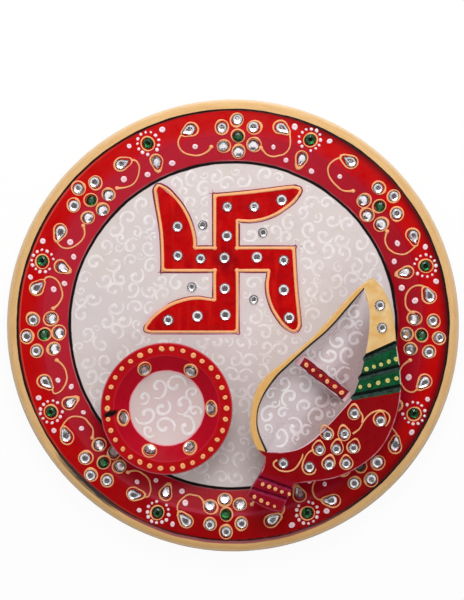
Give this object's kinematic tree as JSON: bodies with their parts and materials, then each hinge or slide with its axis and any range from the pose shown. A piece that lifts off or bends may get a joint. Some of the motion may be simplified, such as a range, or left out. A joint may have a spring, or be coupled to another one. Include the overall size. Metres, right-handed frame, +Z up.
{
  "type": "puja thali",
  "caption": "Round painted marble prayer tray with a jewelled border and a swastika in its well, holding a lift-off bowl and a lift-off conch-shaped tray with pockets for offerings.",
  "frame": {"origin": "centre of the plate's flat underside, on the surface it stands on", "axes": "+Z up out of the plate, +Y towards the edge beyond the swastika, which is up in the picture, +X towards the conch's side, which is right in the picture"},
  "size_m": [0.2304, 0.2304, 0.0327],
  "materials": {
    "marble": "polished, painted in bands",
    "red_enamel": "gloss enamel",
    "gold_paste": "metallic gold paste",
    "white_paint": "gloss",
    "clear_stone": "faceted, foil-backed",
    "green_stone": "faceted, foil-backed"
  },
  "bodies": {
    "thali": {"border_flower_gold": "gold_paste", "border_sun_gold": "gold_paste", "border_sun_rays": "white_paint", "border_white_drops": "white_paint", "flower_1_centre": "green_stone", "flower_1_petals": "clear_stone", "flower_2_centre": "green_stone", "flower_2_petals": "clear_stone", "flower_3_centre": "green_stone", "flower_3_petals": "clear_stone", "flower_4_centre": "green_stone", "flower_4_petals": "clear_stone", "flower_5_centre": "green_stone", "flower_5_petals": "clear_stone", "flower_6_centre": "green_stone", "flower_6_petals": "clear_stone", "flower_7_centre": "green_stone", "flower_7_petals": "clear_stone", "flower_8_centre": "green_stone", "flower_8_petals": "clear_stone", "leaf_pair_1": "clear_stone", "leaf_pair_2": "clear_stone", "leaf_pair_3": "clear_stone", "leaf_pair_4": "clear_stone", "leaf_pair_5": "clear_stone", "leaf_pair_6": "clear_stone", "leaf_pair_7": "clear_stone", "leaf_pair_8": "clear_stone", "marble_plate": "marble", "pendant_1_stone": "clear_stone", "pendant_2_stone": "clear_stone", "pendant_3_stone": "clear_stone", "pendant_4_stone": "clear_stone", "pendant_5_stone": "clear_stone", "pendant_6_stone": "clear_stone", "pendant_7_stone": "clear_stone", "pendant_8_stone": "clear_stone", "quadrant_stones": "clear_stone", "sun_1_stone": "green_stone", "sun_2_stone": "green_stone", "sun_3_stone": "green_stone", "sun_4_stone": "green_stone", "sun_5_stone": "green_stone", "sun_6_stone": "green_stone", "sun_7_stone": "green_stone", "sun_8_stone": "green_stone", "swastika_gold_line": "gold_paste", "swastika_panel": "red_enamel", "swastika_stones": "clear_stone"},
    "loose_bowl": {"bowl": "marble", "bowl_gold": "gold_paste", "bowl_gold_drops": "gold_paste", "bowl_stones": "clear_stone"},
    "loose_conch": {"conch_gold": "gold_paste", "conch_gold_drops": "gold_paste", "conch_stones": "clear_stone", "conch_tray": "marble"}
  },
  "joints": [
    {"name": "bowl_lift", "type": "slide", "parent": "thali", "child": "loose_bowl", "axis": [0, 0, 1], "range_m": [0, 0.05]},
    {"name": "conch_lift", "type": "slide", "parent": "thali", "child": "loose_conch", "axis": [0, 0, 1], "range_m": [0, 0.06]}
  ]
}
